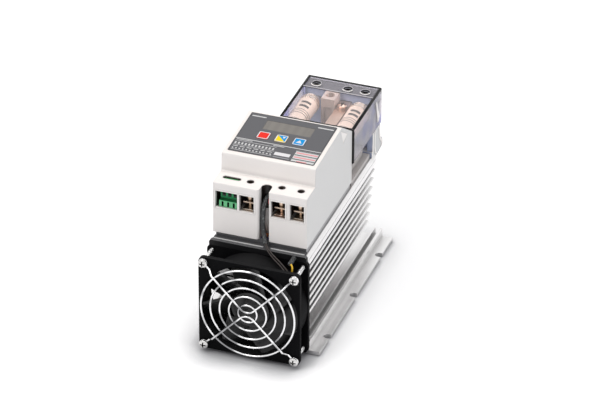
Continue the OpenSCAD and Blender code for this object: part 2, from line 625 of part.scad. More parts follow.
// tinted rear end of the cover, over the terminal screws
module cover_band() color([0.5, 0.5, 0.55, 0.5]) place() difference() {
    box([cover_x0, cover_x1], [band_y, 221.6], [band_z, cover_z]);
    box([cover_x0 + cover_t, cover_x1 - cover_t], [band_y - 1, 221.6 - 1.7], [band_z - 1, cover_z - cover_t]);
    box([cover_x0 + cover_t, cover_x1 - cover_t], [219, 223], [band_z - 1, 151.5]);
    for (x = rear_poles) rod_z(x, 210, cover_z - 3, cover_z + 1, driver_r);
}

heatsink();
carrier_plate();
carrier_screws();
air_baffle();
housing_shell();
label_overlay();
display_window();
display_module();
panel_board();
board_screws();
key_switches();
power_board();
power_parts();
scr_left();
scr_right();
scr_bases();
scr_screws();
line_bars();
load_bars();
tag_bolts();
green_header();
clamp_washers();
clamp_screws();
heat_cutout();
slot_contact();
fan_frame();
fan_stator();
fan_bearing();
finger_guard();
fan_screws();
fan_lead();
fan_wires();
lead_grommet();
fuse_base();
centre_post();
fuse_left();
fuse_right();
fuse_caps_left();
fuse_caps_right();
link_bar();
link_washers();
link_screw();
rear_block();
rear_cages();
rear_screws();
block_screws();
fan_rotor();
fan_shaft();
key_red();
key_split();
key_blue();
clear_cover();
cover_band();
green_plug();
plug_screws();
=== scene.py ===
import json
import math

import bpy
from mathutils import Matrix, Quaternion, Vector


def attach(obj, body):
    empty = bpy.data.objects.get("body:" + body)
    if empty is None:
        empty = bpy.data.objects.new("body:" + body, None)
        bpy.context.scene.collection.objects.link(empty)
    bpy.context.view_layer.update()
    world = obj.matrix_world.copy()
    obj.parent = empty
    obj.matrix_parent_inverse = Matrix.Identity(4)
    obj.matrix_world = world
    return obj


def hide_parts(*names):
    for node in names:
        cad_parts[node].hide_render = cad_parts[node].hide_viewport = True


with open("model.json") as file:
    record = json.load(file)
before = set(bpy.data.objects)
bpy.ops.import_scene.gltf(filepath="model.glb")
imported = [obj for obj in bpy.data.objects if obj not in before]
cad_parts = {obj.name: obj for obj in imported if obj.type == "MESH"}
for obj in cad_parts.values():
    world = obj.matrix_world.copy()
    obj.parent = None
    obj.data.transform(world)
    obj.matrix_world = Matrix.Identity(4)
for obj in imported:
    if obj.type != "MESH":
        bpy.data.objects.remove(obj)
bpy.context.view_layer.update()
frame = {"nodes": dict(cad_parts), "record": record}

# Places are in mm, with Y counted from the fan's front flange, as in the part's source.
MM = 0.001
# The Y of the part's own middle, where the frame has its zero.
MID_Y = 109.732
# The panel leans back a little; its keys and label stand this high over the housing's face.
PANEL_TILT = math.atan(3.4 / 67.6)
KEY_X = {"key_red": -17.0, "key_split": -0.8, "key_blue": 15.4}
KEY_Y = 34.6
KEY_TOP = 0.6
LABEL_TOP = 0.35
# Height of the fan's axis, and half the distance between its screws.
FAN_CENTRE = 49.0
HOLE = 41.25


def spot(x, y, z):
    return Vector((x, y - MID_Y, z)) * MM


def tone(red, green, blue):
    """The renderer's numbers for a colour as it is seen, 0 to 255."""
    def one(c):
        c /= 255
        return c / 12.92 if c <= 0.04045 else ((c + 0.055) / 1.055) ** 2.4
    return (one(red), one(green), one(blue), 1.0)


PANEL = Matrix.LocRotScale(spot(0, 48.9, 171.7), Quaternion((1, 0, 0), PANEL_TILT), None)
ORIGIN = Matrix.Translation(spot(0, 0, 0))
# Working planes: on the housing's front and sides, and upright rounds turned to lie along Y.
FRONT = Matrix.LocRotScale(spot(0, 27.3, 0), Quaternion((1, 0, 0), math.pi / 2), None)
RIGHT_SIDE = ORIGIN @ Matrix(((0, 0, 1, 0), (1, 0, 0, 0), (0, 1, 0, 0), (0, 0, 0, 1)))
LEFT_SIDE = ORIGIN @ Matrix(((0, 0, -1, 0), (-1, 0, 0, 0), (0, 1, 0, 0), (0, 0, 0, 1)))
ALONG_Y = Quaternion((1, 0, 0), -math.pi / 2)

# Front terminals and the long hole over the plug: X of each, their common Y, and the top of the step around them.
POLES = (-12.2, 16.2, 33.4)
LONG_HOLE_X, LONG_HOLE_STRETCH = -29, 6
DRIVER_Y = 38
STEP_Z = 154.5
# Left and right edge of each window, and the height of their lower and upper edges.
WINDOWS = ((-40.2, -20.4), (-18.7, -5.4), (10.0, 22.9), (27.0, 39.9))
WINDOW_LOW, WINDOW_HIGH = 130.5, 146.5
# Rear terminals, the fuses' axes, the radius of the prints on them, and the top of the clear cover.
REAR_POLES = (-13.6, 15.6, 31.8)
REAR_DRIVER_Y = 210
FUSES = (-13.6, 31.8)
FUSE_Z = 145.5
PRINT_RADIUS = 8.79
COVER_Z = 156.9


# Camera, lamps and floor

# The photograph's camera: degrees, focal length in mm, the place that it aims at, and its distance in metres.
AZIMUTH, ELEVATION, ROLL = 19.618, 31.958, 0.133
LENS = 251.256
AIM = (13.86, 90.0, 102.85)
DISTANCE = 3.6157


def put_camera():
    azimuth, elevation = math.radians(AZIMUTH), math.radians(ELEVATION)
    view = Vector((-math.sin(azimuth) * math.cos(elevation), math.cos(azimuth) * math.cos(elevation),
                   -math.sin(elevation)))
    lens = bpy.data.cameras.new("product_camera")
    lens.sensor_width = 36.0
    lens.lens = LENS
    lens.clip_end = 60
    camera = bpy.data.objects.new("product_camera", lens)
    turn = (-view).to_track_quat("Z", "Y") @ Quaternion((0, 0, 1), math.radians(ROLL))
    camera.matrix_world = Matrix.LocRotScale(spot(*AIM) - view * DISTANCE, turn, None)
    bpy.context.scene.collection.objects.link(camera)
    bpy.context.scene.camera = camera


def soft_lamp(name, place, aim, size, power, colour):
    data = bpy.data.lights.new(name, "AREA")
    data.shape = "SQUARE"
    data.size = size
    data.energy = power
    data.color = colour
    lamp = bpy.data.objects.new(name, data)
    way = Vector(aim) - Vector(place)
    lamp.matrix_world = Matrix.LocRotScale(Vector(place), way.to_track_quat("-Z", "Y"), None)
    bpy.context.scene.collection.objects.link(lamp)


def seen_directly(tree):
    """1 where the camera, a reflection or a clear pane looks at the surface, else 0."""
    rays = add(tree, "ShaderNodeLightPath")
    looks = plus(tree, rays.outputs["Is Camera Ray"], rays.outputs["Is Glossy Ray"])
    looks = plus(tree, looks, rays.outputs["Is Transmission Ray"])
    return maths(tree, "MINIMUM", looks, 1.0)


def light_studio():
    scene = bpy.context.scene
    scene.view_settings.view_transform = "Standard"
    world = bpy.data.worlds.new("studio_white")
    world.use_nodes = True
    scene.world = world
    tree = world.node_tree
    sky = tree.nodes["Background"]
    sky.inputs["Color"].default_value = (1, 1, 1, 1)
    strength = maths(tree, "MULTIPLY_ADD", seen_directly(tree), 0.48, 0.52)
    tree.links.new(strength, sky.inputs["Strength"])
    soft_lamp("key_left_above", (-1.0, -1.3, 1.9), (0, -0.02, 0.1), 1.1, 18, (1.0, 0.98, 0.97))
    soft_lamp("top_sheet", (0.25, 0.2, 2.2), (0, 0, 0.1), 1.3, 12, (1.0, 0.985, 0.975))
    soft_lamp("right_fill", (2.0, -0.5, 0.9), (0, 0, 0.08), 1.2, 8, (0.99, 0.995, 1.0))


def lay_floor():
    floor = added(bpy.ops.mesh.primitive_plane_add, 0, 2000, -0.2, size=14)
    floor.name = "studio_floor"
    bpy.ops.object.transform_apply()
    mat, tree, shader = new_material("floor_white")
    # Painted contact shadow: ambient occlusion darkens the floor's colour and glow near the object.
    near = add(tree, "ShaderNodeAmbientOcclusion", samples=16)
    near.inputs["Distance"].default_value = 0.03
    outside_painted_shadow = maths(tree, "POWER", near.outputs["AO"], 2.2)
    tree.links.new(blended(tree, outside_painted_shadow, (0.22, 0.22, 0.24, 1), (0.86, 0.86, 0.87, 1)), shader.inputs["Base Color"])
    shader.inputs["Roughness"].default_value = 0.9
    shader.inputs["Specular IOR Level"].default_value = 0.0
    shader.inputs["Emission Color"].default_value = (1, 1, 1, 1)
    glow = times(tree, times(tree, seen_directly(tree), 0.34), outside_painted_shadow)
    tree.links.new(glow, shader.inputs["Emission Strength"])
    floor.data.materials.append(mat)


# Shader helpers

def add(tree, kind, **settings):
    node = tree.nodes.new(kind)
    for key, value in settings.items():
        setattr(node, key, value)
    return node


def new_material(name="unnamed"):
    mat = bpy.data.materials.new(name)
    mat.use_nodes = True
    return mat, mat.node_tree, mat.node_tree.nodes["Principled BSDF"]


def feed(tree, socket, value):
    if isinstance(value, bpy.types.NodeSocket):
        tree.links.new(value, socket)
    else:
        socket.default_value = value


def maths(tree, operation, *values, clamp=False):
    node = add(tree, "ShaderNodeMath", operation=operation, use_clamp=clamp)
    for socket, value in zip(node.inputs, values):
        feed(tree, socket, value)
    return node.outputs[0]


def times(tree, first, second, clamp=False):
    return maths(tree, "MULTIPLY", first, second, clamp=clamp)


def plus(tree, first, second):
    return maths(tree, "ADD", first, second)


def minus(tree, first, second, clamp=False):
    return maths(tree, "SUBTRACT", first, second, clamp=clamp)


def below(tree, value, limit):
    """1 where the value is lower than the limit, else 0."""
    return maths(tree, "LESS_THAN", value, limit)


def above(tree, value, limit):
    """1 where the value is higher than the limit, else 0."""
    return maths(tree, "GREATER_THAN", value, limit)


def size_of(tree, value):
    return maths(tree, "ABSOLUTE", value)


def object_place(tree):
    return add(tree, "ShaderNodeTexCoord").outputs["Object"]


def vector_maths(tree, operation, first, second, output="Vector"):
    node = add(tree, "ShaderNodeVectorMath", operation=operation)
    feed(tree, node.inputs[0], first)
    feed(tree, node.inputs[1], second)
    return node.outputs[output]


def bumped(tree, height, strength, depth, normal):
    """A direction that is roughened by a height."""
    node = add(tree, "ShaderNodeBump")
    node.inputs["Strength"].default_value = strength
    node.inputs["Distance"].default_value = depth
    tree.links.new(height, node.inputs["Height"])
    tree.links.new(normal, node.inputs["Normal"])
    return node.outputs[0]


def noise(tree, vector, scale, detail=2.0):
    node = add(tree, "ShaderNodeTexNoise")
    node.inputs["Detail"].default_value = detail
    feed(tree, node.inputs["Vector"], vector)
    feed(tree, node.inputs["Scale"], scale)
    return node.outputs["Fac"]


def scaled(tree, colour, amount):
    """The colour made lighter or darker by amount."""
    node = add(tree, "ShaderNodeVectorMath", operation="SCALE")
    feed(tree, node.inputs[0], colour)
    feed(tree, node.inputs["Scale"], amount)
    return node.outputs[0]


def blended(tree, amount, low, high):
    node = add(tree, "ShaderNodeMix", data_type="RGBA")
    feed(tree, node.inputs["Factor"], amount)
    feed(tree, node.inputs["A"], low)
    feed(tree, node.inputs["B"], high)
    return node.outputs["Result"]


def new_group(name, inputs, outputs):
    group = bpy.data.node_groups.new(name, "ShaderNodeTree")
    for label, kind, value in inputs:
        socket = group.interface.new_socket(name=label, in_out="INPUT", socket_type=kind)
        socket.default_value = value
    for label, kind in outputs:
        group.interface.new_socket(name=label, in_out="OUTPUT", socket_type=kind)
    return group, add(group, "NodeGroupInput").outputs, add(group, "NodeGroupOutput").inputs


NUMBER, COLOUR, VECTOR = "NodeSocketFloat", "NodeSocketColor", "NodeSocketVector"
SURFACE_OUT = [("Colour", COLOUR), ("Roughness", NUMBER), ("Height", NUMBER), ("Normal", VECTOR)]


def send(group, out, **results):
    for label, value in results.items():
        group.links.new(value, out[label])


def rounded_edges(group, radius):
    """Rounds the shading at edges, and gives a mask that is 1 along them."""
    bevel = add(group, "ShaderNodeBevel", samples=4)
    feed(group, bevel.inputs["Radius"], radius)
    flat = add(group, "ShaderNodeNewGeometry").outputs["Normal"]
    turned = minus(group, 1.0, vector_maths(group, "DOT_PRODUCT", bevel.outputs[0], flat, "Value"))
    return bevel.outputs[0], times(group, turned, 5.0, clamp=True)


def painted_recess_shade(group, reach, depth):
    """Painted shade: 1 on open faces, lower in gaps and recesses that are narrower than reach."""
    cavity = add(group, "ShaderNodeAmbientOcclusion", samples=8)
    feed(group, cavity.inputs["Distance"], reach)
    closed = minus(group, 1.0, cavity.outputs["AO"])
    return minus(group, 1.0, times(group, closed, depth), clamp=True)


def moulded_group():
    """Moulded plastic: broad mottling, fine grain, rounded edges painted lighter as a painted highlight, and recesses
    painted darker as painted shade.
    """
    group, inside, out = new_group("moulded_surface", [
        ("Colour", COLOUR, (0.5, 0.5, 0.5, 1)), ("Roughness", NUMBER, 0.5), ("Grain", NUMBER, 1600.0),
        ("Mottle", NUMBER, 0.04), ("Highlight", NUMBER, 0.15), ("Edge", NUMBER, 0.0004), ("Reach", NUMBER, 0.006),
        ("Depth", NUMBER, 0.5)], SURFACE_OUT)
    place = object_place(group)
    broad = noise(group, place, 38.0, 3.0)
    fine = noise(group, place, inside["Grain"], 1.0)
    normal, edge = rounded_edges(group, inside["Edge"])
    shade = times(group, minus(group, broad, 0.5), inside["Mottle"])
    grit = times(group, minus(group, fine, 0.5), times(group, inside["Mottle"], 0.7))
    # Rounded edges painted lighter: a painted highlight.
    lift = times(group, edge, inside["Highlight"])
    level = plus(group, plus(group, plus(group, shade, grit), lift), 1.0)
    level = times(group, level, painted_recess_shade(group, inside["Reach"], inside["Depth"]))
    rough = maths(group, "MULTIPLY_ADD", minus(group, broad, 0.5), 0.22, inside["Roughness"])
    rough = maths(group, "MULTIPLY_ADD", fine, 0.05, rough, clamp=True)
    send(group, out, Colour=scaled(group, inside["Colour"], level), Roughness=rough, Height=fine, Normal=normal)
    return group


def metal_group():
    """Drawn, rolled or plated metal: streaks along one direction, stains, edges painted bright as a painted highlight,
    and recesses painted darker as painted shade.
    """
    group, inside, out = new_group("metal_surface", [
        ("Colour", COLOUR, (0.7, 0.7, 0.7, 1)), ("Roughness", NUMBER, 0.3), ("Stretch", VECTOR, (1, 1, 1)),
        ("Grain", NUMBER, 900.0), ("Streak", NUMBER, 0.1), ("Stain", NUMBER, 0.08), ("Edge", NUMBER, 0.0003),
        ("Reach", NUMBER, 0.003), ("Depth", NUMBER, 0.8)], SURFACE_OUT)
    place = object_place(group)
    lines = noise(group, vector_maths(group, "MULTIPLY", place, inside["Stretch"]), inside["Grain"], 3.0)
    broad = noise(group, place, 55.0, 3.0)
    normal, edge = rounded_edges(group, inside["Edge"])
    streak = times(group, minus(group, lines, 0.5), inside["Streak"])
    stain = times(group, minus(group, broad, 0.55), inside["Stain"])
    level = plus(group, plus(group, streak, stain), 1.0)
    # Edges painted brighter: a painted highlight.
    level = maths(group, "MULTIPLY_ADD", edge, 0.3, level)
    level = times(group, level, painted_recess_shade(group, inside["Reach"], inside["Depth"]))
    rough = maths(group, "MULTIPLY_ADD", minus(group, lines, 0.5), 0.16, inside["Roughness"])
    rough = maths(group, "MULTIPLY_ADD", minus(group, broad, 0.5), 0.14, rough, clamp=True)
    send(group, out, Colour=scaled(group, inside["Colour"], level), Roughness=rough, Height=lines, Normal=normal)
    return group


def bands_group():
    """Ribs or threads: a wave along one direction, inside a stated span of it."""
    group, inside, out = new_group("banded_relief", [
        ("Along", VECTOR, (0, 1, 0)), ("Pitch", NUMBER, 0.002), ("Low", NUMBER, -1.0), ("High", NUMBER, 1.0)],
        [("Height", NUMBER)])
    length = vector_maths(group, "DOT_PRODUCT", object_place(group), inside["Along"], "Value")
    turn = times(group, maths(group, "DIVIDE", length, inside["Pitch"]), 2 * math.pi)
    wave = maths(group, "MULTIPLY_ADD", maths(group, "SINE", turn), 0.5, 0.5)
    within = times(group, above(group, length, inside["Low"]), below(group, length, inside["High"]))
    send(group, out, Height=times(group, wave, within))
    return group


MOULDED, METAL, BANDS = moulded_group(), metal_group(), bands_group()


def placed(tree, group, values):
    node = add(tree, "ShaderNodeGroup", node_tree=group)
    for label, value in values.items():
        feed(tree, node.inputs[label], value)
    return node.outputs


def finish(group, values, relief, depth=0.0001, **plain):
    """A material whose colour, roughness and relief come from one of the surface groups."""
    mat, tree, shader = new_material()
    for label, value in plain.items():
        shader.inputs[label.replace("_", " ")].default_value = value
    surface = placed(tree, group, values)
    tree.links.new(surface["Colour"], shader.inputs["Base Color"])
    tree.links.new(surface["Roughness"], shader.inputs["Roughness"])
    tree.links.new(bumped(tree, surface["Height"], relief, depth, surface["Normal"]), shader.inputs["Normal"])
    return mat


# The edge highlight setting paints rounded edges lighter as a painted highlight; reach and dark set how far and how
# deep the painted shade in recesses goes.
def moulded(colour, roughness, relief=0.12, grain=1600.0, mottle=0.05, edge_highlight=0.15, edge=0.0004, reach=0.006,
            dark=0.5, **plain):
    values = {"Colour": tone(*colour), "Roughness": roughness, "Grain": grain, "Mottle": mottle, "Highlight": edge_highlight,
              "Edge": edge, "Reach": reach, "Depth": dark}
    return finish(MOULDED, values, relief, **plain)


# Edges are painted brighter as a painted highlight; reach and dark set how far and how deep the painted shade in
# recesses goes.
def metal(colour, roughness, stretch=(1, 1, 1), grain=900.0, streak=0.12, stain=0.1, edge=0.0003, relief=0.1,
          reach=0.003, dark=0.85, **plain):
    values = {"Colour": tone(*colour), "Roughness": roughness, "Stretch": stretch, "Grain": grain, "Streak": streak,
              "Stain": stain, "Edge": edge, "Reach": reach, "Depth": dark}
    return finish(METAL, values, relief, Metallic=1.0, **plain)


# Finishes of the record's slots

def surface_place(tree):
    """The X, Y and Z of a point on the piece, in metres."""
    parts = add(tree, "ShaderNodeSeparateXYZ")
    tree.links.new(object_place(tree), parts.inputs[0])
    return parts.outputs


def facing(tree):
    """The X, Y and Z of the face's own direction."""
    parts = add(tree, "ShaderNodeSeparateXYZ")
    tree.links.new(add(tree, "ShaderNodeNewGeometry").outputs["Normal"], parts.inputs[0])
    return parts.outputs


def looking(mat, axis, limit):
    """1 on faces that look along the axis: up it for a limit over 0, down it for one under 0."""
    tree = mat.node_tree
    return (above if limit > 0 else below)(tree, facing(tree)[axis], limit)


def recoloured(mat, mask, colour):
    """Lays a second colour over the first where the mask is 1, under the same grain, painted edge highlight and painted
    recess shade.
    """
    tree = mat.node_tree
    surface = next(n for n in tree.nodes if n.type == "GROUP")
    under = surface.inputs["Colour"]
    first = under.links[0].from_socket if under.links else tuple(under.default_value)
    tree.links.new(blended(tree, mask, first, tone(*colour)), under)


def ridged(mat, mask, along, pitch, strength, depth):
    """Adds fine parallel ridges where the mask is 1."""
    tree = mat.node_tree
    ribs = placed(tree, BANDS, {"Along": along, "Pitch": pitch, "Low": -1.0, "High": 1.0})
    grain = next(n for n in tree.nodes if n.type == "BUMP").outputs[0]
    ribbed = bumped(tree, times(tree, ribs["Height"], mask), strength, depth, grain)
    tree.links.new(ribbed, tree.nodes["Principled BSDF"].inputs["Normal"])


def bare_aluminium():
    """Extruded aluminium, with draw lines along Y; the face behind the fan is painted dark as painted shade, and the
    gaps between the fins are painted darker as painted shade.
    """
    mat = metal((238, 237, 237), 0.37, stretch=(1, 0.03, 1), grain=1500, streak=0.2, stain=0.12, relief=0.2,
                reach=0.009, dark=0.6)
    tree = mat.node_tree
    front = looking(mat, "Y", -0.8)
    recoloured(mat, times(tree, front, above(tree, surface_place(tree)["Z"], 12 * MM)), (46, 46, 48))
    return mat


def navy_plastic():
    """The tray: dark grey in front, navy along its top edge, dull metal colour below it on the sides."""
    mat = moulded((50, 64, 118), 0.42, mottle=0.1, edge_highlight=0.5, reach=0.003, dark=0.3)
    tree = mat.node_tree
    way, at = facing(tree), surface_place(tree)
    front = below(tree, way["Y"], -0.7)
    recoloured(mat, front, (98, 98, 101))
    side = above(tree, size_of(tree, way["X"]), 0.7)
    low = times(tree, side, below(tree, at["Z"], 103.4 * MM))
    recoloured(mat, low, (176, 176, 178))
    ridged(mat, front, (0, 0, 1), 0.0021, 0.8, 0.0002)
    return mat


def zinc_steel():
    return metal((196, 198, 202), 0.32, streak=0.2, stain=0.25)


def black_plastic():
    """The fan's plastic, greyer where it looks up into the light."""
    mat = moulded((9, 9, 11), 0.65, mottle=0.2, edge_highlight=1.0, edge=0.0005, reach=0.012, dark=0.7, Specular_IOR_Level=0.06)
    recoloured(mat, looking(mat, "Z", 0.5), (33, 33, 34))
    return mat


def blade_black():
    """The impeller, glossier than the frame, so that its blades show."""
    return moulded((13, 13, 15), 0.28, mottle=0.2, edge_highlight=1.0, reach=0.008, Specular_IOR_Level=0.42)


def strip_black():
    """The strip between fan and plate: black in front, grey along its top ledge."""
    mat = moulded((16, 16, 18), 0.5, mottle=0.2, edge_highlight=1.2, dark=0.4, Specular_IOR_Level=0.2)
    top = looking(mat, "Z", 0.7)
    recoloured(mat, top, (96, 96, 98))
    ridged(mat, top, (0, 1, 0), 0.0022, 0.8, 0.0002)
    return mat


def warm_white_plastic():
    mat = moulded((240, 236, 234), 0.5, relief=0.1, mottle=0.02, edge_highlight=0.14, edge=0.0009, reach=0.005, dark=0.55)
    tree = mat.node_tree
    way = facing(tree)
    # The sides are painted darker as painted shade, and faces that look up are painted lighter and warmer as painted
    # light from the lamps above.
    side = above(tree, size_of(tree, way["X"]), 0.9)
    recoloured(mat, side, (221, 221, 221))
    recoloured(mat, above(tree, way["Z"], 0.75), (253, 247, 243))
    ridged(mat, side, (0, 1, 0), 0.0019, 0.6, 0.0001)
    return mat


def grey_label():
    return moulded((88, 88, 92), 0.42, relief=0.06, grain=2600, mottle=0.06, edge_highlight=0.0, edge=0.0002)


def smoked_window():
    """The display pane: smoked, with a faint row of lighter cells behind it."""
    mat = moulded((116, 111, 105), 0.2, relief=0.02, mottle=0.06, edge_highlight=0.1, edge=0.0002, Coat_Weight=0.3)
    tree = mat.node_tree
    cells = placed(tree, BANDS, {"Along": (1, 0, 0), "Pitch": 0.0087, "Low": -0.0175, "High": 0.0175})
    recoloured(mat, times(tree, cells["Height"], 0.3), (136, 131, 124))
    return mat


def dark_component():
    return moulded((46, 46, 50), 0.45, mottle=0.15, edge_highlight=0.5)


def green_laminate():
    return moulded((34, 96, 58), 0.3, mottle=0.2, edge_highlight=0.3, Coat_Weight=0.4)


def copper_bar():
    return metal((212, 142, 104), 0.32, stretch=(1, 0.1, 1), streak=0.2, stain=0.3)


def plated_brass():
    return metal((214, 192, 172), 0.24, streak=0.2, stain=0.9, edge=0.0004, reach=0.0018, dark=0.9)


# The plug: distance of its poles, Y of its wire recesses' mouth, and the heights of its ledge and screw recesses.
PLUG_PITCH, MOUTH_Y = 5.08, 28.4
LEDGE_Z, FRONT_RECESS_Z, TOP_RECESS_Z = 137.2, 139.2, 141.15


def green_plastic():
    """The plug: screw and wire recesses painted near black and its ledge painted dark, as painted shade, and its lower
    front painted paler where it catches the light, a painted highlight.
    """
    mat = moulded((42, 158, 96), 0.4, mottle=0.12, edge_highlight=0.5, edge=0.0003, reach=0.003, dark=0.7)
    tree = mat.node_tree
    at, front = surface_place(tree), looking(mat, "Y", -0.7)
    low = below(tree, at["Z"], (LEDGE_Z - 0.4) * MM)
    recoloured(mat, times(tree, low, front), (100, 188, 130))
    dip = times(tree, above(tree, at["Z"], FRONT_RECESS_Z * MM), front)
    ledge = below(tree, size_of(tree, minus(tree, at["Z"], LEDGE_Z * MM)), 0.1 * MM)
    recoloured(mat, ledge, (16, 92, 48))
    from_middle = maths(tree, "DIVIDE", minus(tree, at["X"], LONG_HOLE_X * MM), PLUG_PITCH * MM)
    aside = size_of(tree, minus(tree, from_middle, maths(tree, "ROUND", from_middle)))
    screw_place = times(tree, below(tree, aside, 1.63 / PLUG_PITCH),
                        maths(tree, "MAXIMUM", dip, above(tree, at["Z"], TOP_RECESS_Z * MM)))
    within = times(tree, low, above(tree, at["Y"], (MOUTH_Y - MID_Y) * MM))
    entry = times(tree, below(tree, aside, 0.93 / PLUG_PITCH), within)
    recoloured(mat, maths(tree, "MAXIMUM", screw_place, entry), (12, 34, 22))
    return mat


def dull_washer():
    return metal((180, 162, 146), 0.3, streak=0.2, stain=1.2, reach=0.0015, dark=0.9)


def bar_end_plating():
    """The terminal bars, whose front ends catch the light in the windows."""
    mat = metal((206, 190, 172), 0.3, streak=0.2, stain=0.5, reach=0.001, dark=0.4)
    recoloured(mat, looking(mat, "Y", -0.8), (250, 234, 218))
    return mat


def copper_glint():
    return metal((236, 148, 96), 0.3, streak=0.2, stain=0.6, reach=0.001, dark=0.3)


def cross_mask(tree, across, along, arm, reach):
    """1 on a cross with arms of half width arm, out to reach, about the place where both distances are 0."""
    off, up = size_of(tree, across), size_of(tree, along)
    on_arm = below(tree, maths(tree, "MINIMUM", off, up), arm * MM)
    return times(tree, on_arm, below(tree, maths(tree, "MAXIMUM", off, up), reach * MM))


LINK_SCREW_X, LINK_SCREW_Y = 17.0, 191.4


def link_screw_plating():
    """The middle pole's screw: warm plating with its cross recess painted dark as painted shade."""
    mat = metal((238, 204, 184), 0.3, stain=1.2, edge=0.0004, reach=0.0016, dark=0.9)
    tree = mat.node_tree
    at = surface_place(tree)
    across = minus(tree, at["X"], LINK_SCREW_X * MM)
    cross = cross_mask(tree, across, minus(tree, at["Y"], (LINK_SCREW_Y - MID_Y) * MM), 0.85, 3.1)
    recoloured(mat, times(tree, cross, looking(mat, "Z", 0.3)), (84, 52, 40))
    return mat


def bright_plating():
    return metal((226, 226, 228), 0.16, grain=500, streak=0.1, stain=0.3, relief=0.03, reach=0.0024, dark=1.0)


def guard_wire():
    """The guard's plated wire: bright, with darker stretches painted at random as painted dark reflections."""
    mat = metal((236, 236, 237), 0.15, grain=500, streak=0.06, relief=0.03, reach=0.002, dark=0.7)
    tree = mat.node_tree
    reflection_patches = noise(tree, object_place(tree), 75.0, 1.0)
    painted_dark_reflection = times(tree, minus(tree, reflection_patches, 0.52), 7.0, clamp=True)
    recoloured(mat, painted_dark_reflection, (150, 150, 152))
    return mat


def threaded_plating():
    """The fan's long screws: the cross recess in the head painted dark as painted shade, and the shank painted near
    white as a painted highlight, with thread along it.
    """
    mat = metal((214, 213, 212), 0.18, grain=500, streak=0.1, stain=0.5, relief=0.03, reach=0.0018, dark=0.9)
    tree = mat.node_tree
    way, at = facing(tree), surface_place(tree)
    head = below(tree, at["Y"], (-1.9 - MID_Y) * MM)
    across = minus(tree, size_of(tree, at["X"]), HOLE * MM)
    up = size_of(tree, minus(tree, at["Z"], FAN_CENTRE * MM))
    recess = times(tree, below(tree, way["Y"], -0.4), cross_mask(tree, across, minus(tree, up, HOLE * MM), 0.62, 2.5))
    recoloured(mat, times(tree, head, recess), (20, 18, 18))
    shank = minus(tree, 1.0, head)
    recoloured(mat, shank, (252, 252, 252))
    ridged(mat, shank, (0, 1, 0), 0.0007, 0.6, 0.0002)
    return mat


def dark_sleeve():
    """Sleeved cable: wrinkled, with pale glints."""
    mat = moulded((50, 51, 53), 0.5, grain=900, mottle=0.9, relief=0.8, reach=0.003)
    tree = mat.node_tree
    along = vector_maths(tree, "MULTIPLY", object_place(tree), (1.0, 1.0, 0.35))
    glints = times(tree, minus(tree, noise(tree, along, 900.0), 0.56), 9.0, clamp=True)
    recoloured(mat, glints, (128, 132, 132))
    return mat


def wire_insulation():
    return moulded((232, 186, 40), 0.4, mottle=0.1)


def cream_moulding():
    """The centre post, with the face that looks forward painted darker as painted shade."""
    mat = moulded((234, 212, 203), 0.5, mottle=0.06, edge_highlight=0.12, edge=0.0006, reach=0.003, dark=0.3)
    recoloured(mat, looking(mat, "Y", -0.7), (178, 160, 152))
    return mat


def beige_moulding():
    """The fuse base, greyer than its posts."""
    return moulded((198, 194, 192), 0.5, mottle=0.08, edge_highlight=0.12, edge=0.0006, dark=0.6)


def ceramic_body():
    return moulded((248, 224, 208), 0.34, mottle=0.08, edge_highlight=0.1, reach=0.002, dark=0.2, Coat_Weight=0.2)


def silvered_cap():
    return metal((244, 228, 216), 0.26, streak=0.14, stain=0.5, reach=0.0015, dark=0.3)


def warm_plating():
    return metal((232, 202, 184), 0.32, stain=0.5, reach=0.0016, dark=0.95)


def pale_plastic():
    """The rear terminal block, bluish on the face that looks into the fuse bay."""
    mat = moulded((206, 207, 209), 0.36, mottle=0.06, edge_highlight=0.3, edge=0.0008, dark=0.4)
    recoloured(mat, looking(mat, "Y", -0.7), (168, 178, 206))
    return mat


def key_plastic(colour):
    return moulded(colour, 0.42, relief=0.03, edge_highlight=0.0, edge=0.0002, reach=0.001, Specular_IOR_Level=0.2)


def red_key():
    return key_plastic((244, 44, 30))


def yellow_key():
    return key_plastic((252, 222, 14))


def blue_key():
    return key_plastic((0, 152, 224))


def clear_pane(colour, side_colour, reflection_blotch, haze):
    """Clear moulded plastic. Lamps shine through it; its side walls are darker, with violet blotches painted on as
    painted reflections.
    """
    mat, tree, shader = new_material()
    shader.inputs["Transmission Weight"].default_value = 1.0
    shader.inputs["IOR"].default_value = 1.42
    way = facing(tree)
    reflection_patches = noise(tree, object_place(tree), 34.0, 1.0)
    reflection_patches = times(tree, minus(tree, reflection_patches, 0.5), 8.0, clamp=True)
    side = above(tree, size_of(tree, way["X"]), 0.8)
    tint = blended(tree, side, colour, blended(tree, reflection_patches, side_colour, reflection_blotch))
    end = above(tree, size_of(tree, way["Y"]), 0.8)
    tint = blended(tree, end, tint, (0.84, 0.83, 0.88, 1))
    surface = placed(tree, MOULDED, {"Colour": tint, "Roughness": 0.0, "Mottle": 0.04, "Highlight": 0.0, "Depth": 0.0})
    tree.links.new(surface["Colour"], shader.inputs["Base Color"])
    tree.links.new(maths(tree, "MULTIPLY_ADD", surface["Roughness"], 0.3, haze), shader.inputs["Roughness"])
    passing = times(tree, add(tree, "ShaderNodeLightPath").outputs["Is Shadow Ray"], 0.93)
    tree.links.new(minus(tree, 1.0, passing), shader.inputs["Alpha"])
    return mat


def smoked_clear():
    return clear_pane((0.94, 0.93, 0.95, 1), (0.54, 0.5, 0.56, 1), (0.26, 0.26, 0.52, 1), 0.0)


def tinted_clear():
    return clear_pane((0.56, 0.54, 0.58, 1), (0.5, 0.48, 0.55, 1), (0.35, 0.35, 0.6, 1), 0.12)


# Finishes that only new pieces have

def printed(colour, mottle, roughness=0.4):
    return moulded(colour, roughness, relief=0.03, mottle=mottle, edge=0.0001)


def print_white():
    return printed((232, 230, 232), 0.04)


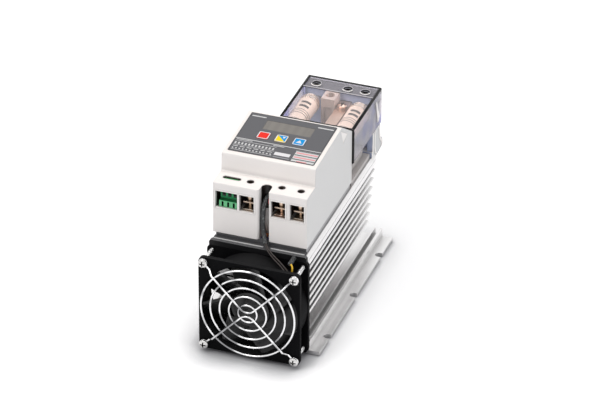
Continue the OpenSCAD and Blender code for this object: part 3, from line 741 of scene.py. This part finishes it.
def print_grey():
    return printed((150, 150, 154), 0.1)


def print_dark():
    return printed((84, 92, 94), 0.2)


def print_edge():
    return printed((58, 59, 62), 0.1, 0.42)


# Brown for the print on the fuses, and for the painted shade in the driver holes.
def print_and_shade_brown():
    return printed((84, 72, 66), 0.2, 0.35)


def print_pink():
    return printed((232, 142, 146), 0.12)


# Pale for the printed fields, and for the painted highlight along the plate's edge.
def print_paper_and_highlight():
    return printed((214, 214, 214), 0.05, 0.45)


def rim_white():
    return moulded((250, 247, 245), 0.45, relief=0.05, mottle=0.02, edge_highlight=0.05, edge=0.0003, dark=0.3)


def header_green():
    return moulded((104, 222, 136), 0.4, mottle=0.2, dark=0.0)


def shade_brown():
    """Painted shade: the dark brown of the shaded inner walls of the terminal chambers and of the cover's holes."""
    return moulded((44, 30, 24), 0.4, relief=0.2, grain=700, mottle=0.5, edge_highlight=0.6, reach=0.012, dark=0.9)


# Near black painted shade for the cable slot.
def slot_shade_black():
    return moulded((20, 12, 10), 0.5, relief=0.2, grain=700, mottle=0.4, edge_highlight=0.3, reach=0.01, dark=0.8)


def cover_edge_reflection_black():
    """The clear cover's thick corners, painted near black as a painted dark reflection."""
    return moulded((7, 6, 8), 0.4, relief=0.05, mottle=0.3, edge_highlight=0.4, Specular_IOR_Level=0.2)


def cover_pale():
    return moulded((196, 194, 200), 0.25, relief=0.05, mottle=0.1, edge_highlight=0.5, edge=0.0003, Coat_Weight=0.4)


def lead_brown():
    return moulded((58, 50, 47), 0.4, relief=0.2, grain=900, mottle=0.5, edge_highlight=0.5)


def red_insulation():
    return moulded((190, 40, 34), 0.4, mottle=0.1)


def made(recipes):
    """Calls these functions, and gives each material its function's name."""
    materials = {recipe.__name__: recipe() for recipe in recipes}
    for name, mat in materials.items():
        mat.name = name
    return materials


MATERIALS = made((
    bare_aluminium, navy_plastic, zinc_steel, black_plastic, warm_white_plastic, grey_label, smoked_window,
    dark_component, green_laminate, copper_bar, plated_brass, green_plastic, bright_plating, dark_sleeve,
    wire_insulation, cream_moulding, ceramic_body, silvered_cap, warm_plating, pale_plastic, red_key, yellow_key,
    blue_key, smoked_clear, tinted_clear, guard_wire, threaded_plating, strip_black, beige_moulding, dull_washer,
    bar_end_plating, link_screw_plating, copper_glint, blade_black, print_white, print_grey, print_dark, print_edge,
    print_and_shade_brown, print_pink, print_paper_and_highlight, red_insulation, rim_white, header_green, shade_brown, slot_shade_black,
    cover_edge_reflection_black, cover_pale, lead_brown))
# Nodes whose look differs from their slot's.
OWN_FINISH = {
    "finger_guard": "guard_wire", "fan_screws": "threaded_plating", "air_baffle": "strip_black",
    "fuse_base": "beige_moulding", "clamp_washers": "dull_washer", "line_bars": "bar_end_plating",
    "link_screw": "link_screw_plating", "slot_contact": "copper_glint", "fan_rotor": "blade_black"}


def dress_cad_nodes():
    slots = {row["node"]: row["material_slot"] for row in frame["record"]["subparts"]}
    for name, piece in frame["nodes"].items():
        for place in piece.material_slots:
            place.material = MATERIALS[OWN_FINISH.get(name, slots[name])]


# Modelling helpers

def mode(name):
    bpy.ops.object.mode_set(mode=name)


def clear_selection():
    if bpy.context.object and bpy.context.object.mode != "OBJECT":
        mode("OBJECT")
    bpy.ops.object.select_all(action="DESELECT")


def pick(piece):
    """Makes this piece the only selected one, and the active one."""
    clear_selection()
    piece.select_set(True)
    bpy.context.view_layer.objects.active = piece


def edit(piece):
    pick(piece)
    mode("EDIT")


def added(primitive, x=0, y=0, z=0, **settings):
    """Adds one of Blender's own meshes at a place in mm."""
    clear_selection()
    primitive(location=(x * MM, y * MM, z * MM), **settings)
    return bpy.context.object


def settle(piece, name, material, matrix=ORIGIN, body="chassis"):
    """Puts a finished piece in its place: object at the origin, doubles merged, faces outward."""
    pick(piece)
    piece.matrix_world = matrix @ piece.matrix_world
    bpy.ops.object.transform_apply()
    mode("EDIT")
    bpy.ops.mesh.select_all(action="SELECT")
    bpy.ops.mesh.remove_doubles(threshold=0.000002)
    bpy.ops.mesh.normals_make_consistent(inside=False)
    mode("OBJECT")
    piece.name = piece.data.name = name
    piece.data.materials.clear()
    piece.data.materials.append(MATERIALS[material])
    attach(piece, body)
    return piece


def on_housing(piece, name, material, matrix=ORIGIN):
    settle(piece, name, material, matrix)


def on_panel(piece, name, material):
    settle(piece, name, material, PANEL)


def joined(pieces):
    pick(pieces[0])
    for piece in pieces[1:]:
        piece.select_set(True)
    bpy.ops.object.join()
    return pieces[0]


def raise_all(low, high):
    """Extrudes all that is in edit mode from height low to high, in mm, and leaves edit mode."""
    bpy.ops.mesh.select_all(action="SELECT")
    bpy.ops.mesh.extrude_region_move(TRANSFORM_OT_translate={"value": (0, 0, (high - low) * MM)})
    mode("OBJECT")


def flat_sheet(x, y, width, depth, low, corner):
    """A flat rectangle centred on (x, y) with rounded corners, left in edit mode."""
    sheet = added(bpy.ops.mesh.primitive_plane_add, x, y, low, size=1)
    sheet.scale = (width * MM, depth * MM, 1)
    bpy.ops.object.transform_apply(location=False, rotation=False, scale=True)
    mode("EDIT")
    bpy.ops.mesh.select_all(action="SELECT")
    if corner:
        bpy.ops.mesh.bevel(offset=corner * MM, segments=4, affect="VERTICES")
        bpy.ops.mesh.select_all(action="SELECT")
    return sheet


def flat_plate(x, y, width, depth, low, high, corner=0.0):
    """A thin plate centred on (x, y), from height low to high, in mm."""
    plate = flat_sheet(x, y, width, depth, low, corner)
    raise_all(low, high)
    return plate


def flat_frame(x, y, width, depth, rim, low, high, corner):
    """A thin rounded frame, rim wide."""
    ring = flat_sheet(x, y, width, depth, low, corner)
    bpy.ops.mesh.inset(thickness=rim * MM)
    bpy.ops.mesh.delete(type="FACE")
    raise_all(low, high)
    return ring


def flat_triangle(x, y, radius, angle, low, high, squeeze=(1, 1)):
    """A thin triangle with its point at angle degrees."""
    mark = added(bpy.ops.mesh.primitive_circle_add, x, y, low, vertices=3, radius=radius * MM, fill_type="NGON")
    point = mark.data.vertices[0].co
    mark.data.transform(Matrix.Rotation(math.radians(angle) - math.atan2(point.y, point.x), 4, "Z"))
    mark.scale = (*squeeze, 1)
    bpy.ops.object.transform_apply(location=False, rotation=False, scale=True)
    mode("EDIT")
    raise_all(low, high)
    return mark


def corner_plate(corners, low, high):
    """A thin plate through the given corners, in mm."""
    plate = added(bpy.ops.mesh.primitive_circle_add, vertices=len(corners), radius=MM, fill_type="NGON")
    around = sorted(plate.data.vertices, key=lambda v: math.atan2(v.co.y, v.co.x))
    middle = Vector((sum(c[0] for c in corners), sum(c[1] for c in corners))) / len(corners)
    ordered = sorted(corners, key=lambda c: math.atan2(c[1] - middle.y, c[0] - middle.x))
    for vertex, corner in zip(around, ordered):
        vertex.co = (corner[0] * MM, corner[1] * MM, low * MM)
    edit(plate)
    raise_all(low, high)
    return plate


def wavy_strip(points, low, high):
    """A thin strip that winds through (x, y, width) points, in mm."""
    strip = added(bpy.ops.mesh.primitive_grid_add, x_subdivisions=1, y_subdivisions=len(points) - 1, size=MM)
    rows = sorted(strip.data.vertices, key=lambda v: (round(v.co.y, 7), v.co.x))
    for number, (x, y, width) in enumerate(points):
        for vertex, side in zip(rows[2 * number:2 * number + 2], (-0.5, 0.5)):
            vertex.co = ((x + side * width) * MM, y * MM, low * MM)
    edit(strip)
    raise_all(low, high)
    return strip


def thickened(piece, wall, corner=0.0):
    """Gives a surface a wall's thickness, half to each side, and rounds its edges."""
    pick(piece)
    shell = piece.modifiers.new("wall", "SOLIDIFY")
    shell.thickness, shell.offset = wall * MM, 0.0
    bpy.ops.object.modifier_apply(modifier=shell.name)
    if corner:
        round_off = piece.modifiers.new("rounding", "BEVEL")
        round_off.width, round_off.segments, round_off.limit_method = corner * MM, 2, "ANGLE"
        bpy.ops.object.modifier_apply(modifier=round_off.name)
    return piece


def without(piece, kind, unwanted):
    """Deletes the vertices or faces that unwanted picks out, and leaves the rest in edit mode."""
    edit(piece)
    bpy.ops.mesh.select_mode(type=kind)
    bpy.ops.mesh.select_all(action="DESELECT")
    mode("OBJECT")
    parts = piece.data.vertices if kind == "VERT" else piece.data.polygons
    picked = [part for part in parts if unwanted(part)]
    for part in picked:
        part.select = True
    mode("EDIT")
    if picked:
        bpy.ops.mesh.delete(type=kind)


def arc_wall(centre, turn, radius, start, end, low, high, wall, sides=48, corner=0.0):
    """A curved wall about a centre, from angle start to end in degrees, low to high along its axis, in mm."""
    piece = added(bpy.ops.mesh.primitive_circle_add, z=low, vertices=sides, radius=radius * MM)
    bpy.ops.object.transform_apply()
    without(piece, "VERT", lambda v: (math.degrees(math.atan2(v.co.y, v.co.x)) - start) % 360 > end - start)
    raise_all(low, high)
    thickened(piece, wall, corner)
    piece.data.transform(Matrix.LocRotScale(Vector(centre) * MM, turn, None))
    return piece


def ring_wall(x, y, radius, low, high, wall, **more):
    """A full round wall that stands upright at (x, y)."""
    return arc_wall((x, y, 0), None, radius, 0, 360, low, high, wall, **more)


def open_box(x, y, z, wall, open_ways):
    """A box of thin walls, without the faces that look in open_ways."""
    box = added(bpy.ops.mesh.primitive_cube_add, sum(x) / 2, sum(y) / 2, sum(z) / 2, size=1)
    box.scale = ((x[1] - x[0]) * MM, (y[1] - y[0]) * MM, (z[1] - z[0]) * MM)
    bpy.ops.object.transform_apply()
    without(box, "FACE", lambda face: any(face.normal.dot(Vector(way)) > 0.9 for way in open_ways))
    mode("OBJECT")
    return thickened(box, wall)


def bent_rod(points, radius, smooth=False):
    """A round rod with closed ends through the points, in mm, or along a smooth curve that they lead."""
    data = bpy.data.curves.new("rod", "CURVE")
    data.dimensions = "3D"
    data.bevel_depth = radius * MM
    data.bevel_resolution = 4 if smooth else 2
    data.resolution_u = 8
    data.use_fill_caps = True
    line = data.splines.new("NURBS" if smooth else "POLY")
    line.points.add(len(points) - 1)
    for point, place in zip(line.points, points):
        point.co = (*(Vector(place) * MM), 1)
    if smooth:
        line.order_u = 4
        line.use_endpoint_u = True
    rod = bpy.data.objects.new("rod", data)
    bpy.context.scene.collection.objects.link(rod)
    pick(rod)
    bpy.ops.object.convert(target="MESH")
    bpy.ops.object.shade_smooth()
    return bpy.context.object


# The housing's windows, holes and cable slot

TOWARDS_FRONT, DOWN, TO_RIGHT, TO_BACK = (0, -1, 0), (0, 0, -1), (1, 0, 0), (0, 1, 0)
# Where the chambers end behind and above, and where the linings of the holes in the step start and end.
CHAMBER_BACK, CHAMBER_TOP = 45.6, 150.7
LINING_LOW, LINING_HIGH = STEP_Z - 3.9, STEP_Z - 0.6


def line_terminal_chambers():
    """Dark walls behind the windows as painted shade, set a little back so that the sills stay white."""
    for index, (left, right) in enumerate(WINDOWS):
        if index:
            liner = open_box((left - 0.2, right + 0.2), (31.6, CHAMBER_BACK), (131.6, CHAMBER_TOP), 0.2,
                             (TOWARDS_FRONT, DOWN))
        else:
            liner = open_box((left + 0.25, right), (30.4, CHAMBER_BACK), (129.1, CHAMBER_TOP), 0.2,
                             (TOWARDS_FRONT, DOWN, TO_RIGHT, TO_BACK))
        on_housing(liner, "chamber_liner_%d" % (index + 1), "shade_brown")


def frame_windows():
    middle, height, border = (WINDOW_LOW + WINDOW_HIGH) / 2, WINDOW_HIGH - WINDOW_LOW, 1.7
    rims = [flat_frame((left + right) / 2, middle, right - left + border, height + border, 0.8, -0.05, 0.45, 0.5)
            for left, right in WINDOWS]
    on_housing(joined(rims), "window_rims", "rim_white", FRONT)


def long_hole(radius, start, end, low, high, wall, stretch=LONG_HOLE_STRETCH, **more):
    """A wall along the outline of the long hole over the plug, which is a round one pulled apart in X."""
    outline = arc_wall((LONG_HOLE_X, DRIVER_Y, 0), None, radius, start, end, low, high, wall, **more)
    for vertex in outline.data.vertices:
        vertex.co.x += math.copysign(stretch * MM, vertex.co.x - LONG_HOLE_X * MM)
    return outline


def line_driver_holes():
    """Dark sleeves in the screwdriver holes of the step as painted shade, white rims round them, and the green edge in
    the long one.
    """
    sleeves = [ring_wall(x, DRIVER_Y, 3.15, LINING_LOW, LINING_HIGH, 0.2) for x in POLES]
    sleeves.append(long_hole(2.25, 0, 360, LINING_LOW, LINING_HIGH, 0.2))
    on_housing(joined(sleeves), "driver_hole_sleeves", "print_and_shade_brown")
    low, high = STEP_Z - 0.3, STEP_Z + 0.25
    rims = [ring_wall(x, DRIVER_Y, 3.55, low, high, 0.6, corner=0.12) for x in POLES]
    rims.append(long_hole(2.65, 0, 360, low, high, 0.6, corner=0.12))
    on_housing(joined(rims), "driver_hole_rims", "rim_white")
    edge = long_hole(2.0, 8, 172, CHAMBER_TOP, STEP_Z - 2, 0.2, stretch=5.6)
    settle(edge, "header_edge_in_slot", "header_green")


def line_cable_slot():
    """The upper end of the cable slot, lined dark as painted shade."""
    liner = arc_wall((3.7, 34.7, 0), None, 4.4, -12, 192, 131, LINING_HIGH, 0.25, sides=64)
    on_housing(liner, "cable_slot_liner", "slot_shade_black")


def mark_sides():
    """The pale triangles let into both sides of the housing, as Y and Z of their corners."""
    corners = ((114.3, 172.2), (120.3, 157.7), (130.5, 161.1))
    for side, place, turn in (("right", RIGHT_SIDE, 1), ("left", LEFT_SIDE, -1)):
        mark = corner_plate([(turn * y, z) for y, z in corners], 42.0, 42.45)
        on_housing(mark, "side_mark_" + side, "rim_white", place)


def lay_bright_strip():
    """A pale strip along the top of the black strip, a painted highlight on the plate's edge, broken where the lead
    passes.
    """
    parts = [flat_plate(x, 24.95, width, 1.1, 99.9, 100.5, 0.2) for x, width in ((-18.6, 45), (25.9, 30.6))]
    settle(joined(parts), "plate_bright_edge", "print_paper_and_highlight")


# The fuse bay

def fuse_ring(x, y, radius, start, end, half, wall, **more):
    """A band round a fuse, from half before y to half behind it."""
    return arc_wall((x, y, FUSE_Z), ALONG_Y, radius, start, end, -half, half, wall, **more)


def print_fuses():
    """Plain bars on top of each ceramic body and thin rings near its front end."""
    bars = [fuse_ring(x, y, PRINT_RADIUS, 248, 312, 1.6, 0.06, sides=96) for x in FUSES for y in (172.5, 179.0)]
    rings = [fuse_ring(x, y, PRINT_RADIUS, 0, 360, 0.35, 0.06, sides=64) for x in FUSES for y in (160.5, 163.5, 166.5)]
    settle(joined(bars + rings), "fuse_prints", "print_and_shade_brown")


def ring_fuse_ends():
    """Raised bright beads on the caps at the far end of the fuses."""
    beads = [fuse_ring(x, y, radius, 0, 360, 0.5, 0.5, sides=64, corner=0.2)
             for x in FUSES for y, radius in ((188.2, 9.1), (191.3, 9.1), (195.3, 7.7))]
    settle(joined(beads), "fuse_end_beads", "silvered_cap")


def edge_cover():
    """The near black corner beads of the clear cover, on its front frame and along the edges of its roof: painted dark
    reflections of its thick corners.
    """
    left, right, near, far = -24.3, 42.5, 145.7, 220.4
    foot, top, bend = 123.2, COVER_Z - 0.9, 2.2
    front = [(right, near, foot), (right, near, top - bend)]
    front += [(right - bend * (1 - math.cos(a)), near, top - bend * (1 - math.sin(a)))
              for a in (math.pi * k / 8 for k in range(1, 5))]
    front += [(left + right - x, y, z) for x, y, z in reversed(front)]
    rods = [bent_rod(front, 1.5)]
    rods += [bent_rod([(x, near + 0.3, top), (x, far, top)], 1.4) for x in (left + 0.4, right - 0.4)]
    rods.append(bent_rod([(left, far + 0.3, top), (right, far + 0.3, top)], 1.2))
    settle(joined(rods), "cover_corner_beads", "cover_edge_reflection_black", body="cover")


def rib_cover():
    """The light rib where the clear roof meets its tinted end, and the rims, lips and linings of its three holes, the
    linings dark as painted shade.
    """
    rib = flat_plate(9.1, 202.0, 66.2, 0.9, COVER_Z - 0.3, COVER_Z + 0.35, 0.3)
    rims = [ring_wall(x, REAR_DRIVER_Y, 4.35, COVER_Z - 0.5, COVER_Z + 0.35, 0.5, corner=0.12) for x in REAR_POLES]
    settle(joined([rib] + rims), "cover_rib_and_rims", "cover_pale", body="cover")
    lips = [arc_wall((x, REAR_DRIVER_Y, 0), None, 4.7, 205, 345, COVER_Z - 0.4, COVER_Z + 0.45, 1.1, corner=0.15)
            for x in REAR_POLES]
    settle(joined(lips), "cover_hole_lips", "rim_white", body="cover")
    shaded = [arc_wall((x, REAR_DRIVER_Y, 0), None, 3.85, 30, 215, 150.6, 154.7, 0.2) for x in REAR_POLES]
    settle(joined(shaded), "rear_hole_sleeves", "shade_brown")


# Y, Z and width of the ribs, from the foot up.
BLOCK_RIBS = (
    ((198.2, 95.5, 2.6), (198.3, 103.0, 2.6), (199.4, 104.6, 2.6), (199.8, 112.0, 2.6), (200.0, 121.9, 2.6)),
    ((210.5, 96.0, 2.6), (206.5, 99.0, 2.4), (204.4, 106.0, 2.2), (204.8, 118.0, 2.2), (206.5, 121.9, 2.2)),
    ((223.0, 96.6, 3.0), (224.2, 99.0, 3.0), (223.8, 102.5, 3.4), (220.5, 104.8, 3.4), (218.0, 108.5, 3.0),
     (216.9, 116.4, 3.0), (214.5, 121.9, 3.0)))
COVER_RIB = ((211.6, 127.8, 2.4), (212.9, 131.4, 5.6), (211.7, 135.6, 5.2), (209.1, 142.3, 3.2), (207.3, 149.9, 2.6))


def rib_block_side():
    """The wavy ribs on the right side of the rear block and on the cover's wall above it, made bright white as painted
    highlights.
    """
    ribs = [wavy_strip(line, 42.6, 43.3) for line in BLOCK_RIBS]
    settle(joined(ribs), "block_side_ribs", "rim_white", RIGHT_SIDE)
    settle(wavy_strip(COVER_RIB, 42.8, 43.4), "cover_side_rib", "rim_white", RIGHT_SIDE, "cover")


# The panel's printed fields, in the panel's own plane

LOW, HIGH = LABEL_TOP - 0.1, LABEL_TOP + 0.05


def field(x, y, width, depth, corner=0.0, lift=0.0):
    """A plain printed patch on the panel film."""
    return flat_plate(x, y, width, depth, LOW, HIGH + lift, corner)


def print_border():
    """The darker line round the panel film."""
    on_panel(flat_frame(0, 35.3, 77.9, 60.9, 0.75, LOW, HIGH - 0.02, 1.0), "panel_border", "print_edge")


def print_divider():
    on_panel(field(0, 24.7, 77.6, 0.9), "panel_divider", "print_paper_and_highlight")


def print_name_fields():
    """Plain fields where the real panel carries words."""
    left = field(-30.4, 61.1, 13, 1.5, 0.5)
    right = field(30.4, 60.7, 14.2, 1.5, 0.5)
    on_panel(joined([left, right]), "panel_name_fields", "print_paper_and_highlight")


def print_wiring_field():
    """A generic chart of plain bars."""
    bars = [field(-36.2 + 3.1 * i, 17.4, 1.5, 3.0, 0.2) for i in range(12)]
    bars += [field(-34.6 + 6.2 * i, 12.6, 4.4, 0.9, 0.2) for i in range(6)]
    bars += [field(-36.0 + 3.1 * i, 9.4, 1.4, 1.6, 0.2) for i in range(12)]
    bars += [field(-18.6, y, 37, 0.45) for y in (21.0, 14.7, 7.2)]
    bars += [field(-30, 23.0, 14, 0.8), field(1.0, 23.0, 10, 0.8)]
    on_panel(joined(bars), "panel_wiring_bars", "print_paper_and_highlight")


def print_notice_field():
    """A pale field with plain dark and pink bars."""
    on_panel(field(28.4, 13.7, 21, 17.4, lift=-0.02), "panel_notice_paper", "print_paper_and_highlight")
    dark = [field(28.4, y, 20.6, 1.3) for y in (21.6, 15.3, 8.9)]
    on_panel(joined(dark), "panel_notice_dark_bars", "print_dark")
    pink = [field(28.2, y, 19, 1.5) for y in (18.6, 12.0)] + [field(27.4, 6.2, 9, 1.1)]
    on_panel(joined(pink), "panel_notice_pink_bars", "print_pink")


def print_blank_sticker():
    on_panel(field(8.0, 11.9, 14, 4.6, 0.4, 0.05), "panel_blank_sticker", "print_white")
    on_panel(field(8.6, 7.0, 14.6, 1.4), "panel_sticker_bar", "print_grey")


def dress_keys():
    """White rims, the split key's blue half and the arrow marks."""
    bodies = {"key_red": "red_key", "key_split": "split_key", "key_blue": "blue_key"}
    low, high = KEY_TOP - 0.15, KEY_TOP + 0.04
    for node, x in KEY_X.items():
        ring = flat_frame(x, KEY_Y, 10.1, 10.1, 0.85, low, KEY_TOP + 0.06, 1.2)
        settle(ring, node + "_rim", "print_white", PANEL, bodies[node])
    x, reach = KEY_X["key_split"], 4.35
    half = corner_plate(((x - reach, KEY_Y + reach), (x + reach, KEY_Y + reach), (x + reach, KEY_Y - reach)), low, high)
    settle(half, "key_split_blue_half", "blue_key", PANEL, "split_key")
    down = flat_triangle(x + 1.9, KEY_Y + 2.0, 1.7, -90, low, high + 0.04)
    settle(down, "key_split_down_mark", "print_white", PANEL, "split_key")
    up = flat_triangle(KEY_X["key_blue"], KEY_Y - 0.6, 2.8, 90, low, high, (1.1, 1.0))
    settle(up, "key_blue_up_mark", "print_white", PANEL, "blue_key")


# Leads

SLEEVE = [(4, 54, 142.4), (3.8, 46, 142.9), (3.5, 38, 143.4), (2.8, 33.2, 141.4), (1.8, 31.2, 134), (1.35, 31, 125),
          (1.4, 30.9, 118), (2.1, 30.2, 112.5), (3.4, 28.9, 108.4), (4.6, 27.3, 105.4), (5.8, 25.6, 103.2)]
LEAD_CORES = [(4.9, 26.8, 104.8), (6.6, 24.4, 103.6), (9.3, 20.8, 102.2), (13.6, 18.4, 98.8), (19.2, 16.2, 95.8),
              (26.1, 13.0, 92.6), (31.2, 9.8, 89.4), (33.6, 9.6, 86.4), (33.2, 10.4, 82.4)]
CORE_SPREAD = ((0, 0, 0.55), (0.35, 0.5, -0.3), (-0.4, -0.45, -0.25))
RED_WIRE = [(6.2, 54, 146.4), (6.2, 46, 147), (6.2, 38, 146.8), (6.3, 34.4, 144.6), (6.4, 32.9, 142),
            (6.5, 32.6, 139.4)]
YELLOW_WIRE = [(34.8, 8.7, 99.2), (36.4, 7.4, 98.4), (36.9, 6.6, 95.6), (36.2, 6.2, 91.6), (34.4, 5.9, 87),
               (32.9, 5.8, 82.6)]


def lead(name, points, radius, material):
    return settle(bent_rod(points, radius, smooth=True), name, material)


def lay_leads():
    """The sleeved lead, the three bare cores that fan out of it, and the red and yellow wires."""
    sleeve = lead("lead_sleeve", SLEEVE, 2.15, "dark_sleeve")
    for number, offset in enumerate(CORE_SPREAD, 1):
        spread = [tuple(Vector(p) + Vector(offset) * min(1.0 + 0.25 * i, 2.2)) for i, p in enumerate(LEAD_CORES)]
        lead("lead_core_%d" % number, spread, 0.55, "lead_brown")
    lead("wire_red", RED_WIRE, 0.7, "red_insulation")
    yellow = lead("wire_yellow", YELLOW_WIRE, 0.75, "wire_insulation")
    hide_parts("fan_lead")
    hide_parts("fan_wires")


# Building the scene

put_camera()
light_studio()
lay_floor()
dress_cad_nodes()
line_terminal_chambers()
frame_windows()
line_driver_holes()
line_cable_slot()
mark_sides()
lay_bright_strip()
print_fuses()
ring_fuse_ends()
edge_cover()
rib_cover()
rib_block_side()
print_border()
print_divider()
print_name_fields()
print_wiring_field()
print_notice_field()
print_blank_sticker()
dress_keys()
lay_leads()
